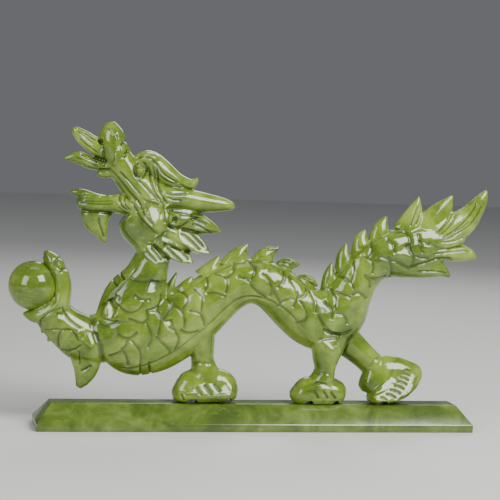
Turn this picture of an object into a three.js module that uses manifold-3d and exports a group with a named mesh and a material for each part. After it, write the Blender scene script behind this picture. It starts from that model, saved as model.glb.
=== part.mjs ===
// A carved jade dragon on a bevelled plinth, raising a pearl in one foreclaw.
// Millimetres, +Z up. The origin is the middle of the plinth's underside, +X runs from the
// dragon's pearl to its tail, and -Y is the side that is looked at.
import * as THREE from "three";
import { mergeVertices } from "three/addons/utils/BufferGeometryUtils.js";
import Module from "manifold-3d";

const wasm = await Module();
wasm.setup();

// Plinth: a plain edge below four bevels.
const plinthLength = 300;
const plinthWidth = 38;
const plinthEdgeHeight = 5;
const plinthBevelRise = 12.5;
const plinthBevelRun = 10;
const plinthTop = plinthEdgeHeight + plinthBevelRise;

// Carving: the drawing below is drawn at drawnLength and drawnDepth, and made at these sizes.
const carvingLength = 326;
const carvingDepth = 30;
const drawnLength = 326;
const drawnDepth = 30;
const planScale = carvingLength / drawnLength;
const depthScale = carvingDepth / drawnDepth;

// Pearl, and the claw that cups it.
const pearlRadius = 16.3;
const pearlCentre = { x: -153.4, height: 76.8 };

// Dowels between the soles and the plinth.
const dowelRadius = 2;
const dowelLength = 18;
const dowelInPlinth = 8;

const jointGap = 0.3; // between pieces that touch or are cemented

// A limb is a smooth sweep through sections [x, height above the plinth, half height, half depth].
// side is its middle's distance from the carving's mid plane, and mirrored limbs come in pairs.
const trunk = {
  sides: 16,
  steps: 32,
  sections: [
    [-111, 48, 6, 5],
    [-107, 48, 15, 10],
    [-98, 47, 24.5, 13.5],
    [-86, 46.5, 29, 15],
    [-72, 47.5, 28.5, 15],
    [-58, 51.5, 24.5, 14.5],
    [-45, 59, 20.5, 14],
    [-33, 70, 18.2, 13.5],
    [-21, 78.5, 16.4, 13],
    [-8, 82.5, 15.2, 12.5],
    [5, 80, 15.8, 12.5],
    [15, 73.5, 16.8, 13],
    [25, 65.5, 18.2, 13.5],
    [36, 58.5, 20, 14.5],
    [47, 57, 21.5, 15],
    [56, 63, 19.5, 14.5],
    [62, 75, 16.2, 13],
    [68, 87, 14.8, 11.5],
    [76.5, 97, 14.6, 10.5],
    [87.5, 102.5, 15.8, 9.5],
    [100, 104.5, 17, 8.5],
    [113, 108, 16.5, 7.5],
    [125, 112, 10, 6],
    [133, 115, 4, 4],
  ],
};

const neck = {
  sides: 14,
  sections: [
    [-75, 106, 9, 8],
    [-76, 96, 12, 10.5],
    [-78.5, 84, 14.8, 12.5],
    [-84, 70, 22.5, 14.5],
    [-86, 54, 26, 15],
  ],
};

const standingLegs = [
  // Foreleg, under the chest.
  { sections: [
    [-40, 60, 9, 11], [-39, 45, 8.6, 10], [-38.4, 30, 7.6, 8.5], [-37, 23, 9, 9], [-36, 17, 12, 9.5],
  ] },
  // Near hind leg.
  {
    side: -5,
    sections: [
      [47, 55, 15, 9], [47.5, 42, 12.5, 9.5], [46.5, 32, 9.5, 9], [46, 23, 7.2, 8],
      [44.5, 15, 9.5, 8.5],
    ],
  },
  // Far hind leg, which steps back.
  {
    side: 5,
    sections: [
      [54, 50, 13, 9], [67, 39, 10, 9], [76, 31.5, 8.8, 8.5], [83, 25, 10, 9.5], [90, 18, 11, 9.5],
    ],
  },
];

// Feet stand on the plinth, and are swept along X. A sole is the flat that meets the plinth.
const feet = [
  {
    name: "fore",
    sections: [
      [-57.3, 8, 2.5, 3], [-55, 8, 6, 7], [-51, 8, 9.5, 10], [-44, 10.2, 11.8, 11.5], [-37, 11, 12.5, 12],
      [-28, 11, 12, 12], [-20.5, 9.5, 10.5, 11], [-15.5, 9, 7, 7.5], [-13.2, 9.5, 2.5, 3],
    ],
    sole: { x: -34, halfLength: 12, halfDepth: 7.5 },
  },
  {
    name: "hind_near",
    side: -3.5,
    sections: [
      [24, 9, 2.5, 3], [26.2, 8, 6.5, 7], [30.5, 7.6, 9, 9.5], [38, 8.4, 10.5, 10.5], [46, 8.6, 10.8, 10.5],
      [54, 7, 9.2, 9.5], [58.8, 5.6, 7, 7.5], [61.6, 4.5, 3, 3],
    ],
    sole: { x: 42, halfLength: 11.5, halfDepth: 5.5 },
  },
  {
    name: "hind_far",
    side: 3.5,
    sections: [
      [74, 9.5, 2.5, 3], [77.5, 11.5, 7, 7.5], [82.5, 13, 13, 9.5], [90, 15.6, 17, 10.5],
      [97, 16, 17, 10.5],
      [103, 16.4, 16, 10], [108, 19.4, 11.6, 9], [113, 20.5, 7.4, 7], [116.4, 18.5, 5, 4],
      [117.4, 17.5, 1, 2],
    ],
    sole: { x: 93, halfLength: 10, halfDepth: 5.5 },
  },
];

const raisedArm = {
  sections: [
    [-96, 44, 17, 11], [-108, 42, 16.6, 11], [-119, 42, 16, 10.5], [-130.5, 48.8, 13.4, 10.5],
    [-140, 57.5, 12, 10], [-149, 66, 9, 9],
  ],
};
const elbowSpur = { sections: [
  [-117, 33, 11.5, 7], [-117.5, 23, 8.8, 4.5], [-119.5, 15.5, 5, 2.8], [-121.5, 8.7, 1.6, 1.4],
] };

// The claw runs round the pearl. Each section is [degrees round the pearl, rise off it, thickness, half
// depth].
const claw = [
  [77, 5.4, 2.4, 3], [68, 3.4, 5.6, 5], [55, 0, 9.6, 7.5], [38, -2, 10.2, 9], [18, -2.2, 9.6, 10],
  [0, -2.2, 10.2, 10.5], [-22, -2.2, 12, 11], [-45, -2.2, 15.4, 11], [-70, -2.2, 12.6, 10],
  [-92, -1, 8.8, 7], [-108, 2.6, 1.6, 2.5],
];

const head = {
  skull: { sections: [
    [-62, 118, 10, 8], [-70, 119, 16, 11.5], [-79, 119, 19, 13], [-88, 121, 15, 12],
    [-94.5, 125, 8, 8],
  ] },
  throat: { sections: [
    [-87.5, 126, 8.5, 10], [-82.5, 115, 10.5, 12], [-77, 105, 10, 12], [-73, 98, 9, 11],
  ] },
  snout: { sections: [
    [-72, 128, 14, 11], [-82, 140, 13, 11], [-92.5, 151.5, 10.6, 9.5], [-100, 162, 9.2, 8.5],
    [-103.5, 171.5, 8.4, 8], [-105.6, 180, 7.6, 7], [-106.8, 186.6, 3, 3.5],
  ] },
  upperLeaf: { sections: [
    [-98, 162, 6, 8.5], [-108, 166, 6.4, 8], [-116, 170.3, 5.9, 7], [-124, 174.9, 5.2, 5.5],
    [-128.8, 178.9, 3, 3.5], [-130.6, 181, 1.4, 1.6],
  ] },
  lowerLeaf: { sections: [
    [-100, 158, 4, 6], [-112, 157.5, 3.4, 5], [-123, 161, 4.6, 4], [-130, 162, 3, 2.5],
    [-135.5, 160.8, 0.9, 1],
  ] },
  lipKnob: { sections: [[-103, 156, 3, 4], [-108, 151.5, 2.4, 3], [-113, 152, 1, 1.5]] },
  lowerJaw: { sections: [
    [-86, 130, 8, 10], [-98, 132, 7, 8], [-110, 131.5, 6.4, 7], [-120, 132, 6.2, 6], [-126, 131, 3, 3],
  ] },
  jawTip: { sections: [
    [-104, 135, 3, 4.5], [-116, 137, 3.4, 4.5], [-124, 139.8, 2.8, 3.5], [-129, 139.7, 1.4, 2],
  ] },
  beard: { sections: [
    [-114, 128, 10, 5], [-113, 122, 8.6, 4.5], [-109.5, 114.5, 4.8, 3.5], [-106.4, 106.7, 0.9, 1],
  ] },
  crest: {
    sections: [
      [-87, 158, 5.5, 6], [-82, 162, 7.5, 7.5], [-75, 159, 9, 8], [-66, 151.5, 8.5, 8],
      [-57, 148, 6, 6], [-50, 149.5, 3.6, 4], [-46, 151, 1.3, 1.5],
    ],
  },
  horn: { sections: [
    [-74, 137, 9, 9], [-62, 138, 9, 9], [-50, 136.5, 8, 8], [-38, 135, 6.6, 6.5], [-28, 134.4, 5, 5],
    [-22, 134.3, 2.8, 3], [-20, 134.3, 1, 1],
  ] },
};

// Locks of the mane: root and tip, with the root's half height.
const locks = [
  { root: [-60, 123, 8.5], bend: [-42, 120.5, 6], tip: [-29, 115.5] },
  { root: [-64, 115, 8], bend: [-48, 108, 6], tip: [-37, 101.5] },
  { root: [-70, 108, 8], bend: [-58, 101, 5.5], tip: [-48.5, 94.3] },
  { root: [-80, 105, 7], bend: [-73, 98.5, 4.5], tip: [-66, 94.3] },
];
const lockHalfDepth = 9;

// Fins along the back: root, a point along the fin's middle, and the tip. The third number is a half width.
const fins = [
  { root: [-63, 72, 4.5], bend: [-61, 80, 2.4], tip: [-58, 87] },
  { root: [-53, 72, 7], bend: [-50, 79, 3.6], tip: [-47.5, 84.5] },
  { root: [-37, 84, 9], bend: [-32.5, 93, 4], tip: [-29.4, 99.5] },
  { root: [-19, 91, 10.5], bend: [-15, 101, 5.6], tip: [-10, 107.5] },
  { root: [-1, 90, 11], bend: [3, 101, 5.5], tip: [11, 105.5] },
  { root: [13, 85, 11], bend: [18, 94.5, 5.2], tip: [26, 94.5] },
  { root: [26, 77, 10], bend: [32, 84.5, 4.4], tip: [39, 81] },
  { root: [48, 78, 6.5], bend: [48, 88, 4], tip: [49, 96.5] },
  { root: [58, 92, 7], bend: [57, 103, 4.2], tip: [58, 111] },
  { root: [70, 103, 8], bend: [68.5, 113, 4.8], tip: [70.5, 120.5] },
  { root: [83, 110, 10], bend: [82.5, 122, 5.4], tip: [86, 130] },
  { root: [102, 118, 11], bend: [104.5, 131, 6], tip: [108.5, 143.5] },
  { root: [115, 115, 12], bend: [127, 133, 6.4], tip: [133, 145.5] },
];
const finHalfDepth = 4;

const tailFlames = [
  { sections: [
    [112, 110, 12, 6.5], [128, 119, 11, 5.5], [141, 126, 9.4, 4.5], [148.5, 135, 6.6, 3.5],
    [154, 143.5, 4, 2.5], [157.3, 149.6, 1, 1],
  ] },
  { sections: [
    [112, 104, 8, 6], [129, 104.5, 6, 5], [141, 104.6, 5.8, 4], [147, 103.2, 3.6, 2.8],
    [150.6, 101, 1, 1],
  ] },
  { sections: [[98, 96, 9, 7], [112, 94.5, 7.4, 5.5], [124, 93.6, 5.8, 4], [131.5, 89, 0.9, 1]] },
];

// A cylinder whose length is bent and swelled to follow the sections.
function sweep({ sections, side = 0, sides = 10, steps }) {
  const middles = sections.map(([x, height]) => new THREE.Vector3(x, 0, height));
  const halves = sections.map(([, , halfHeight, halfDepth]) => new THREE.Vector3(halfHeight, halfDepth, 0));
  const line = new THREE.CatmullRomCurve3(middles, false, "centripetal");
  const size = new THREE.CatmullRomCurve3(halves, false, "centripetal");
  const rings = steps ?? Math.ceil((sections.length - 1) * 1.5);
  const body = new THREE.CylinderGeometry(1, 1, 1, sides, rings);
  const places = body.getAttribute("position");
  for (let i = 0; i < places.count; i++) {
    const along = THREE.MathUtils.clamp(places.getY(i) + 0.5, 0, 1);
    const middle = line.getPoint(along);
    const half = size.getPoint(along);
    const heading = line.getTangent(along);
    const across = places.getX(i) * Math.max(half.x, 0.5);
    places.setXYZ(
      i,
      (middle.x - heading.z * across) * planScale,
      (side + places.getZ(i) * Math.max(half.y, 0.5)) * depthScale,
      plinthTop + (middle.z + heading.x * across) * planScale,
    );
  }
  return body;
}

function solid(geometry) {
  const bare = geometry.index ? geometry.toNonIndexed() : geometry.clone();
  bare.deleteAttribute("normal");
  bare.deleteAttribute("uv");
  const merged = mergeVertices(bare, 1e-3);
  const made = new wasm.Manifold(
    new wasm.Mesh({
      numProp: 3,
      vertProperties: merged.getAttribute("position").array,
      triVerts: new Uint32Array(merged.index.array),
    }),
  );
  if (made.volume() > 0) return made;
  throw new Error("a geometry is inside out");
}

function geometryOf(body) {
  const mesh = body.getMesh();
  const geometry = new THREE.BufferGeometry();
  geometry.setAttribute("position", new THREE.BufferAttribute(mesh.vertProperties, 3));
  geometry.setIndex(new THREE.BufferAttribute(mesh.triVerts, 1));
  geometry.computeVertexNormals();
  return geometry;
}

function leaf({ root, bend, tip }, halfDepth) {
  const sections = [
    [root[0], root[1], root[2], halfDepth],
    [bend[0], bend[1], bend[2], halfDepth * 0.6],
    [tip[0], tip[1], 0.8, 0.8],
  ];
  return sweep({ sections, sides: 8, steps: 4 });
}

function placeOfPearl() {
  return new THREE.Vector3(pearlCentre.x * planScale, 0, plinthTop + pearlCentre.height * planScale);
}

function pearlBall(radius) {
  const ball = new THREE.SphereGeometry(radius, 24, 16);
  const middle = placeOfPearl();
  return ball.rotateX(Math.PI / 2).translate(middle.x, middle.y, middle.z);
}

function clawSweep() {
  const sections = claw.map(([degrees, rise, thickness, halfDepth]) => {
    const turn = THREE.MathUtils.degToRad(degrees);
    const radius = pearlRadius / planScale + rise + thickness / 2;
    return [
      pearlCentre.x + Math.cos(turn) * radius,
      pearlCentre.height + Math.sin(turn) * radius,
      thickness / 2,
      halfDepth,
    ];
  });
  return sweep({ sections, sides: 12, steps: 16 });
}

// The flat pad under a foot, which stands on the plinth.
function solePad({ side = 0, sole }) {
  const top = 8;
  const pad = new THREE.CylinderGeometry(1, 0.92, top * planScale - jointGap, 20, 1);
  pad.rotateX(Math.PI / 2);
  pad.scale(sole.halfLength * planScale, sole.halfDepth * depthScale, 1);
  const middle = (top * planScale + jointGap) / 2;
  return pad.translate(sole.x * planScale, side * depthScale, plinthTop + middle);
}

function dowelAt({ side = 0, sole }, radius, length, low) {
  const pin = new THREE.CylinderGeometry(radius, radius, length, 20, 1);
  pin.rotateX(Math.PI / 2);
  return pin.translate(sole.x * planScale, side * depthScale, low + length / 2);
}

function dragonCarving() {
  const parts = [
    sweep(trunk),
    sweep(neck),
    ...standingLegs.map((leg) => sweep({ sides: 12, ...leg })),
    ...feet.map(({ sections, side }) => sweep({ sections, side, sides: 12, steps: 12 })),
    ...feet.map(solePad),
    sweep({ sides: 12, ...raisedArm }),
    sweep(elbowSpur),
    clawSweep(),
    ...Object.values(head).map(sweep),
    ...locks.map((lock) => leaf(lock, lockHalfDepth)),
    ...fins.map((fin) => leaf(fin, finHalfDepth)),
    ...tailFlames.map(sweep),
  ].map(solid);
  let carving = parts.reduce((whole, part) => whole.add(part));

  const below = new THREE.BoxGeometry(plinthLength * 2, plinthWidth * 4, plinthTop);
  carving = carving.subtract(solid(below.translate(0, 0, plinthTop / 2 + jointGap)));
  carving = carving.subtract(solid(pearlBall(pearlRadius + jointGap)));
  const socketDepth = dowelLength - dowelInPlinth + jointGap;
  for (const foot of feet) {
    const socket = dowelAt(foot, dowelRadius + jointGap, socketDepth + 1, plinthTop - 1);
    carving = carving.subtract(solid(socket));
  }
  return geometryOf(carving);
}

function plinthSlab() {
  const halfLength = plinthLength / 2;
  const halfWidth = plinthWidth / 2;
  const slab = new THREE.BoxGeometry(plinthLength, plinthWidth, plinthTop, 1, 1, 2);
  const places = slab.getAttribute("position");
  for (let i = 0; i < places.count; i++) {
    const level = Math.round(places.getZ(i) / plinthTop + 0.5);
    const middle = Math.abs(places.getZ(i)) < plinthTop / 4;
    const inset = !middle && level === 1 ? plinthBevelRun : 0;
    const height = middle ? plinthEdgeHeight : level * plinthTop;
    places.setXYZ(
      i,
      Math.sign(places.getX(i)) * (halfLength - inset),
      Math.sign(places.getY(i)) * (halfWidth - inset),
      height,
    );
  }
  let body = solid(slab);
  for (const foot of feet) {
    const depth = dowelInPlinth + jointGap;
    const hole = dowelAt(foot, dowelRadius + jointGap, depth + 1, plinthTop - depth);
    body = body.subtract(solid(hole));
  }
  return geometryOf(body);
}

const jade = new THREE.MeshStandardMaterial({ color: 0x8aa04a, roughness: 0.18, metalness: 0 });
const plinthJade = new THREE.MeshStandardMaterial({ color: 0x7d9c45, roughness: 0.22, metalness: 0 });
const steel = new THREE.MeshStandardMaterial({ color: 0xb5b8ba, roughness: 0.35, metalness: 1 });

const figurine = new THREE.Group();

function addPiece(name, geometry, material) {
  const mesh = new THREE.Mesh(geometry, material);
  mesh.name = name;
  figurine.add(mesh);
}

addPiece("plinth", plinthSlab(), plinthJade);
addPiece("dragon_carving", dragonCarving(), jade);
addPiece("pearl", pearlBall(pearlRadius), jade);
for (const foot of feet) {
  const pin = dowelAt(foot, dowelRadius, dowelLength, plinthTop - dowelInPlinth);
  addPiece(`dowel_${foot.name}`, pin, steel);
}

export default figurine;
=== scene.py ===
import math
import bpy
import numpy as np
from mathutils import Matrix, Vector


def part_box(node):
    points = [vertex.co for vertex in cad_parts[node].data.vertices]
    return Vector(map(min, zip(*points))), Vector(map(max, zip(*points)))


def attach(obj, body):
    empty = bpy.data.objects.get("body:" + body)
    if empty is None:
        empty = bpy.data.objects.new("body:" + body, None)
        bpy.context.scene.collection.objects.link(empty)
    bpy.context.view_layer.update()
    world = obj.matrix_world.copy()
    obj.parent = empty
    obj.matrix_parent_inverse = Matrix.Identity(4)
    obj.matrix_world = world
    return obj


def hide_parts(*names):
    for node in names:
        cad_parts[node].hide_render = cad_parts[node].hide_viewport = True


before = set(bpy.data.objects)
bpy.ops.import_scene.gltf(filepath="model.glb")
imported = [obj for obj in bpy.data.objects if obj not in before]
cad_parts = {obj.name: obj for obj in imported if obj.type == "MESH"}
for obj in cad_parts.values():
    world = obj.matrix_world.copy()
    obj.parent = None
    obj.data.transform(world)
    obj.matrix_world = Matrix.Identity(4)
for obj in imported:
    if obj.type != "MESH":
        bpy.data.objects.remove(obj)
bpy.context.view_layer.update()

mm = 0.001


def deselectAll():
    if bpy.context.object and bpy.context.object.mode != "OBJECT":
        bpy.ops.object.mode_set(mode="OBJECT")
    bpy.ops.object.select_all(action="DESELECT")


def onlySelect(obj):
    deselectAll()
    obj.select_set(True)
    bpy.context.view_layer.objects.active = obj


def editAll():
    bpy.ops.object.mode_set(mode="EDIT")
    bpy.ops.mesh.select_all(action="SELECT")


def joinInto(name, pieces):
    deselectAll()
    for piece in pieces:
        piece.select_set(True)
    bpy.context.view_layer.objects.active = pieces[0]
    if len(pieces) > 1:
        bpy.ops.object.join()
    whole = bpy.context.object
    whole.name = whole.data.name = name
    return whole


def placeInMesh(obj):
    onlySelect(obj)
    bpy.ops.object.transform_apply(location=True, rotation=True, scale=True)


def applyModifier(obj, kind, **settings):
    onlySelect(obj)
    bpy.ops.object.modifier_add(type=kind)
    modifier = obj.modifiers[-1]
    for key, value in settings.items():
        setattr(modifier, key, value)
    bpy.ops.object.modifier_apply(modifier=modifier.name)


cameraSetup = {
    "azimuth": -11.923, "elevation": 4.586, "roll": 2.373,   # degrees
    "distance": 1.1488, "target": (-0.00839, 0.0, 0.12121),   # metres
    "lens": 122.4, "sensor": 36, "nearest": 0.05,
}


def addCamera(setup):
    az, el = math.radians(setup["azimuth"]), math.radians(setup["elevation"])
    away = Vector((math.sin(az) * math.cos(el), -math.cos(az) * math.cos(el), math.sin(el)))
    bpy.ops.object.camera_add(location=Vector(setup["target"]) + away * setup["distance"])
    camera = bpy.context.object
    camera.rotation_euler = (
        away.to_track_quat("Z", "Y").to_matrix() @ Matrix.Rotation(math.radians(setup["roll"]), 3, "Z")
    ).to_euler()
    camera.data.lens = setup["lens"]
    camera.data.sensor_width = setup["sensor"]
    camera.data.clip_start = setup["nearest"]
    bpy.context.scene.camera = camera


addCamera(cameraSetup)
print("camera placed")

plinthLow, plinthHigh = [Vector(corner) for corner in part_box("plinth")]
pearlLow, pearlHigh = [Vector(corner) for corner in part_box("pearl")]
dragonLow, dragonHigh = [Vector(corner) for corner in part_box("dragon_carving")]
standing = plinthHigh.z                      # the level the feet stand on
pearlMiddle = (pearlLow + pearlHigh) / 2
pearlRadius = (pearlHigh.x - pearlLow.x) / 2
drawn = {"length": 317.7, "level": 17.5}     # the drawing below is in millimetres over these
unit = (dragonHigh.x - dragonLow.x) / drawn["length"]
jointGap = 0.3 * mm


def atPlace(x, height, side=0.0):
    # the drawing's heights are counted from the plinth's underside
    return Vector((x * unit, side * unit, standing + (height - drawn["level"]) * unit))


# a limb is a ring drawn out through [x, height, half height, half depth]
rough = {
    "trunk": [[-111, 65.5, 5, 4], [-107, 65.5, 14, 9], [-98, 64.5, 24, 13], [-86, 64, 29, 15], [-72, 65, 28, 15],
        [-58, 69.5, 24.2, 14.8], [-45, 77, 20.5, 14.4], [-33, 87.5, 18.4, 14], [-21, 96, 16.6, 14],
        [-8, 100, 15.2, 14], [5, 97.5, 15.8, 14], [15, 91, 16.8, 14], [25, 83, 18.2, 14.4], [36, 76, 20, 14.8],
        [47, 74.5, 21.5, 15], [56, 80.5, 19.5, 14.6], [62, 92.5, 16.2, 13.8], [68, 104.5, 14.8, 13],
        [76.5, 114.5, 14.6, 12.2], [87.5, 120, 15.8, 11.6], [100, 122, 17, 10.8], [113, 125.5, 16.5, 9.6],
        [125, 129.5, 12, 8], [135, 132, 7, 6], [143, 133, 2, 3]],
    "neck": [[-74, 124, 9, 9], [-75, 114, 12, 12], [-78.5, 102, 14.8, 13.6], [-84, 87.5, 22.5, 14.6],
        [-86, 72, 26, 15]],
    "foreleg": [[-40, 80, 9, 12], [-39, 63, 8.8, 11], [-38.2, 47.5, 7.8, 9.5], [-37, 40.5, 9, 10],
        [-36, 34.5, 12, 11]],
    "nearThigh": [[47, 75, 15, 9.5], [47.5, 59.5, 12.5, 10], [46.5, 49, 9.4, 9.5], [46, 40.5, 7.2, 8.5],
        [44.5, 32.5, 9.5, 9]],
    "farThigh": [[54, 67.5, 13, 9.5], [67, 56.5, 10, 9.5], [76, 49, 8.8, 9], [82.5, 43, 8.4, 9.5], [86, 39, 6, 8.5]],
    "forefoot": [[-57.3, 26.5, 2.5, 3], [-55.6, 26, 6, 7], [-51, 26, 10, 9.4], [-44, 27.5, 12, 10.6],
        [-37, 28.5, 12.5, 10.9], [-28, 28.5, 12, 10.7], [-20.5, 27, 10.5, 9.6], [-15.5, 26.5, 7, 7],
        [-13.2, 26.5, 2.5, 3]],
    "foreToes": [[-57.4, 22, 2, 4], [-55.5, 22, 4, 10], [-51, 22.6, 5.4, 13.2], [-44, 23, 6, 14.2],
        [-34, 23.4, 6.4, 14], [-22, 23.4, 6, 12.9], [-16, 23, 4, 9.6], [-13.6, 22.6, 1.6, 3]],
    "nearFoot": [[24, 26.5, 2.5, 3], [26.2, 25.5, 6.5, 8], [30.5, 25, 9, 10.5], [38, 25.8, 10.5, 11.2],
        [46, 26.2, 10.8, 11.2], [54, 24.8, 9.4, 10.5], [58.8, 23.4, 7.2, 8.5], [61.6, 22.5, 3, 3]],
    "farFoot": [[74, 27, 2.5, 3], [77.5, 29, 7, 8], [82.5, 31, 13, 9.4], [90, 33.4, 16.5, 9.8], [97, 33.8, 16.4, 9.8],
        [103, 34.6, 15, 9.6], [108, 35.8, 12.2, 8.8], [112.5, 36.6, 8.4, 7], [116, 35.8, 4.6, 4], [117.4, 35, 1, 2]],
    "farToes": [[78, 21, 2, 4], [81.5, 21.4, 4, 8.6], [88, 22.4, 5.6, 11.2], [95, 24.4, 6.6, 11], [102, 28.2, 7, 9.6],
        [108, 32.6, 6.4, 8], [113, 35.4, 4, 6], [115.6, 35, 2, 3]],
    "farClaw": [[111, 38, 6, 7], [114, 34, 3.6, 4], [115.5, 30.6, 1.4, 1.6]],
    "raisedArm": [[-96, 61.5, 17, 12], [-108, 59.8, 16.6, 12.2], [-119, 59.5, 16, 12], [-130.5, 66.6, 13.8, 11.6],
        [-140, 75, 12, 11], [-149, 83.5, 9, 9.5]],
    "elbowSpur": [[-117, 50.5, 11.5, 8], [-116.6, 40.5, 9, 5.6], [-118.4, 33, 6, 3.8], [-121.4, 26.6, 2, 1.8]],
    "skull": [[-62, 135.5, 10, 9], [-70, 136.5, 16, 12.6], [-79, 136.5, 18.6, 14.4], [-87.5, 138.5, 14, 13.4],
        [-93, 142.5, 8, 9]],
    "throat": [[-87.5, 143.5, 8.5, 11], [-82.5, 132.5, 10.5, 13.4], [-77, 122.5, 10.2, 12.6], [-73, 115.5, 9, 11.5]],
    "snout": [[-72, 145.5, 14, 12.8], [-82, 157.5, 12.8, 12.4], [-92.5, 169, 10.6, 10.8], [-100, 179.5, 9.8, 10.2],
        [-103.8, 189, 9, 9.8], [-105.2, 196.5, 8.2, 8.4], [-106.4, 203.6, 3.4, 4]],
    "upperLeaf": [[-100, 180, 5, 5], [-108, 183.6, 6, 6.2], [-117, 188.4, 5.8, 5.8], [-124.5, 193.6, 4.8, 4.4],
        [-129, 197.4, 2.8, 2.8], [-130.8, 199, 1, 1.2]],
    "lowerLeaf": [[-98, 173.5, 4, 7.5], [-109, 174.6, 3.4, 6.6], [-118, 176.2, 4.2, 5.4], [-126, 179.4, 4.3, 4],
        [-131, 179.4, 2.7, 2.6], [-136, 178.2, 0.8, 1]],
    "lipKnob": [[-101, 171.5, 3, 5], [-106, 169.4, 2.7, 4], [-110.5, 169.2, 2.4, 3], [-113.6, 169.8, 1.2, 1.6]],
    "lowerJaw": [[-84, 149, 8, 11], [-98, 149.8, 6.6, 9], [-110, 149.2, 6, 8], [-120, 149.8, 6.2, 7],
        [-126.4, 148.6, 2.6, 3.5]],
    "jawTip": [[-104, 152.2, 2.6, 5], [-114, 153.6, 2.8, 5.2], [-121, 155.4, 3.2, 4.6], [-127, 156.6, 2.5, 3.2],
        [-130.4, 156.6, 1.2, 1.6]],
    "beard": [[-113, 147, 10.6, 5.5], [-113.4, 139.5, 9.6, 5], [-110.4, 132, 5.6, 4], [-106.6, 123.8, 1, 1]],
    "crest": [[-88.5, 174, 2.4, 5], [-85, 178, 6, 7.4], [-79, 178, 8, 8.6], [-71, 172, 8.4, 9.4],
        [-61, 165.8, 6.6, 8], [-52, 164.2, 4.2, 5], [-48, 166, 2.4, 3], [-46, 168.6, 0.8, 1]],
    "horn": [[-76, 153, 10, 12], [-64, 155.8, 9.4, 11], [-52, 154, 7.4, 9], [-40, 152.2, 6.6, 7.2],
        [-29, 151.4, 4.8, 5.2], [-22.5, 150.6, 3, 3.2], [-20, 150.2, 1, 1]],
    "lockOne": [[-66, 141, 9, 11.6], [-52, 139.5, 8.6, 9.8], [-41, 137, 6.2, 6.8], [-33, 134.6, 2.9, 3.4],
        [-29, 132.7, 0.8, 1]],
    "lockTwo": [[-68, 133, 8, 12.4], [-54, 128, 7.8, 11.4], [-45, 123.4, 5.8, 9.8], [-39, 120.4, 2.6, 8],
        [-36.5, 119, 0.8, 5]],
    "lockThree": [[-72, 126, 8, 12.8], [-62, 120.5, 7.4, 12.6], [-54, 115.5, 4.8, 11], [-49.8, 112.8, 2.2, 9],
        [-47.7, 111.7, 0.8, 6]],
    "lockFour": [[-81, 122, 6, 12.6], [-75, 117, 5.4, 12.8], [-69.5, 113.6, 3.2, 11.5], [-66, 112.2, 0.9, 7]],
    "tailTip": [[112, 127.5, 12, 8], [128, 136.5, 11, 6.6], [141, 143.5, 9.6, 5.2], [148.8, 152, 7, 4],
        [154.4, 160.5, 4.4, 2.8], [157.6, 166.6, 1, 1]],
    "tailMiddle": [[112, 122, 8, 7.5], [129, 122.4, 6, 6.2], [141, 122.6, 5.9, 4.8], [148, 121.4, 4, 3.4],
        [152.6, 118.8, 1, 1]],
    "tailLower": [[98, 113.5, 9, 8.5], [112, 112, 7.4, 6.6], [124, 111.3, 6, 4.8], [130.5, 108.6, 3, 2.8],
        [134, 105.8, 0.9, 1]],
}

# fins, barbs and flames: root, bend and tip as [x, height, half width]
fins = {
    "halfDepth": 6.0, "barbDepth": 2.6, "bendShare": 0.66, "tip": [0.6, 0.7],   # the tip's half width and half depth
    "leaves": [
        [[-63, 89.5, 4.5], [-61, 97.5, 2.4], [-57.9, 105]],
        [[-54, 89.5, 7.5], [-51, 96.5, 4], [-47.2, 102.4]],
        [[-38, 101.5, 9], [-33.6, 109.6, 4.6], [-29.2, 117]],
        [[-19.5, 108.5, 10.5], [-15.6, 118, 6], [-9.8, 125.2]],
        [[-1, 107.5, 11], [3.2, 118, 6], [12, 123.6]],
        [[13, 102.5, 11], [18, 111.4, 5.8], [27, 112]],
        [[26, 94.5, 10], [32, 101.4, 5], [40, 97.6]],
        [[48, 95.5, 6.5], [47.6, 105.5, 4.2], [49, 114]],
        [[58, 109.5, 7], [57.2, 119.8, 4.6], [58.9, 127.6]],
        [[70, 120.5, 8], [69, 130, 5.2], [71.8, 137]],
        [[83, 127.5, 10], [83, 138.6, 6], [86.4, 146.6]],
        [[102, 136, 11.5], [105.6, 147.6, 7.4], [108.8, 161]],
        [[116, 134.5, 12.5], [124.4, 148.4, 9.8], [132.8, 162.4]],
    ],
    "barbs": [
        [[-98, 184, 2.2], [-96.6, 188, 1.6], [-95.2, 191.4]],
        [[-97, 180, 2.2], [-95.6, 184, 1.6], [-94.2, 187.2]],
        [[-144, 68, 3], [-146, 64.8, 1.8], [-146.8, 62.6]],
        [[-139, 62, 3], [-141.6, 58.8, 1.8], [-142.6, 57]],
        [[-116, 34, 3], [-115.6, 31, 1.8], [-116, 28]],
    ],
}

# the claw that cups the pearl: [degrees round the pearl, rise off it, thickness, half depth]
clawRound = [
    [73.5, 5.2, 2.6, 4], [69, 3, 6.4, 6], [62, 0, 9.8, 8], [53, -2.2, 12, 9.6], [44, -3.4, 12.8, 10.6],
     [36, -4.2, 12.6, 11.2],
    [26, -4.8, 13.6, 11.8], [0, -5.2, 14.2, 12], [-22, -5, 15.4, 12.4], [-45, -4.6, 18, 12.4],
     [-70, -3.6, 14.2, 11.4],
    [-92, -1.2, 9, 7.6], [-108, 2.6, 1.6, 2.5],
]

# eyes, brows, teeth and the curl at the ear, as [x, height, distance to the side, radii]
faceBalls = {
    "eye": [-86.8, 172.6, 10.2, (2.8, 3.6, 2.9)],
    "brow": [-80, 180.4, 5.5, (7, 4.4, 4.2)],
    "frontTooth": [-121.8, 156, 3.4, (1.6, 1.5, 1.3)],
    "secondTooth": [-112.5, 154.6, 3.8, (1.7, 1.5, 1.3)],
    "thirdTooth": [-106, 154.2, 4, (1.7, 1.5, 1.3)],
    "backTooth": [-100.5, 154.6, 4.2, (1.7, 1.5, 1.3)],
}
earCurl = {"x": -62.6, "height": 141, "side": 12.4, "ring": 3.2, "wire": 1.4, "segments": (32, 12)}

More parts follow.
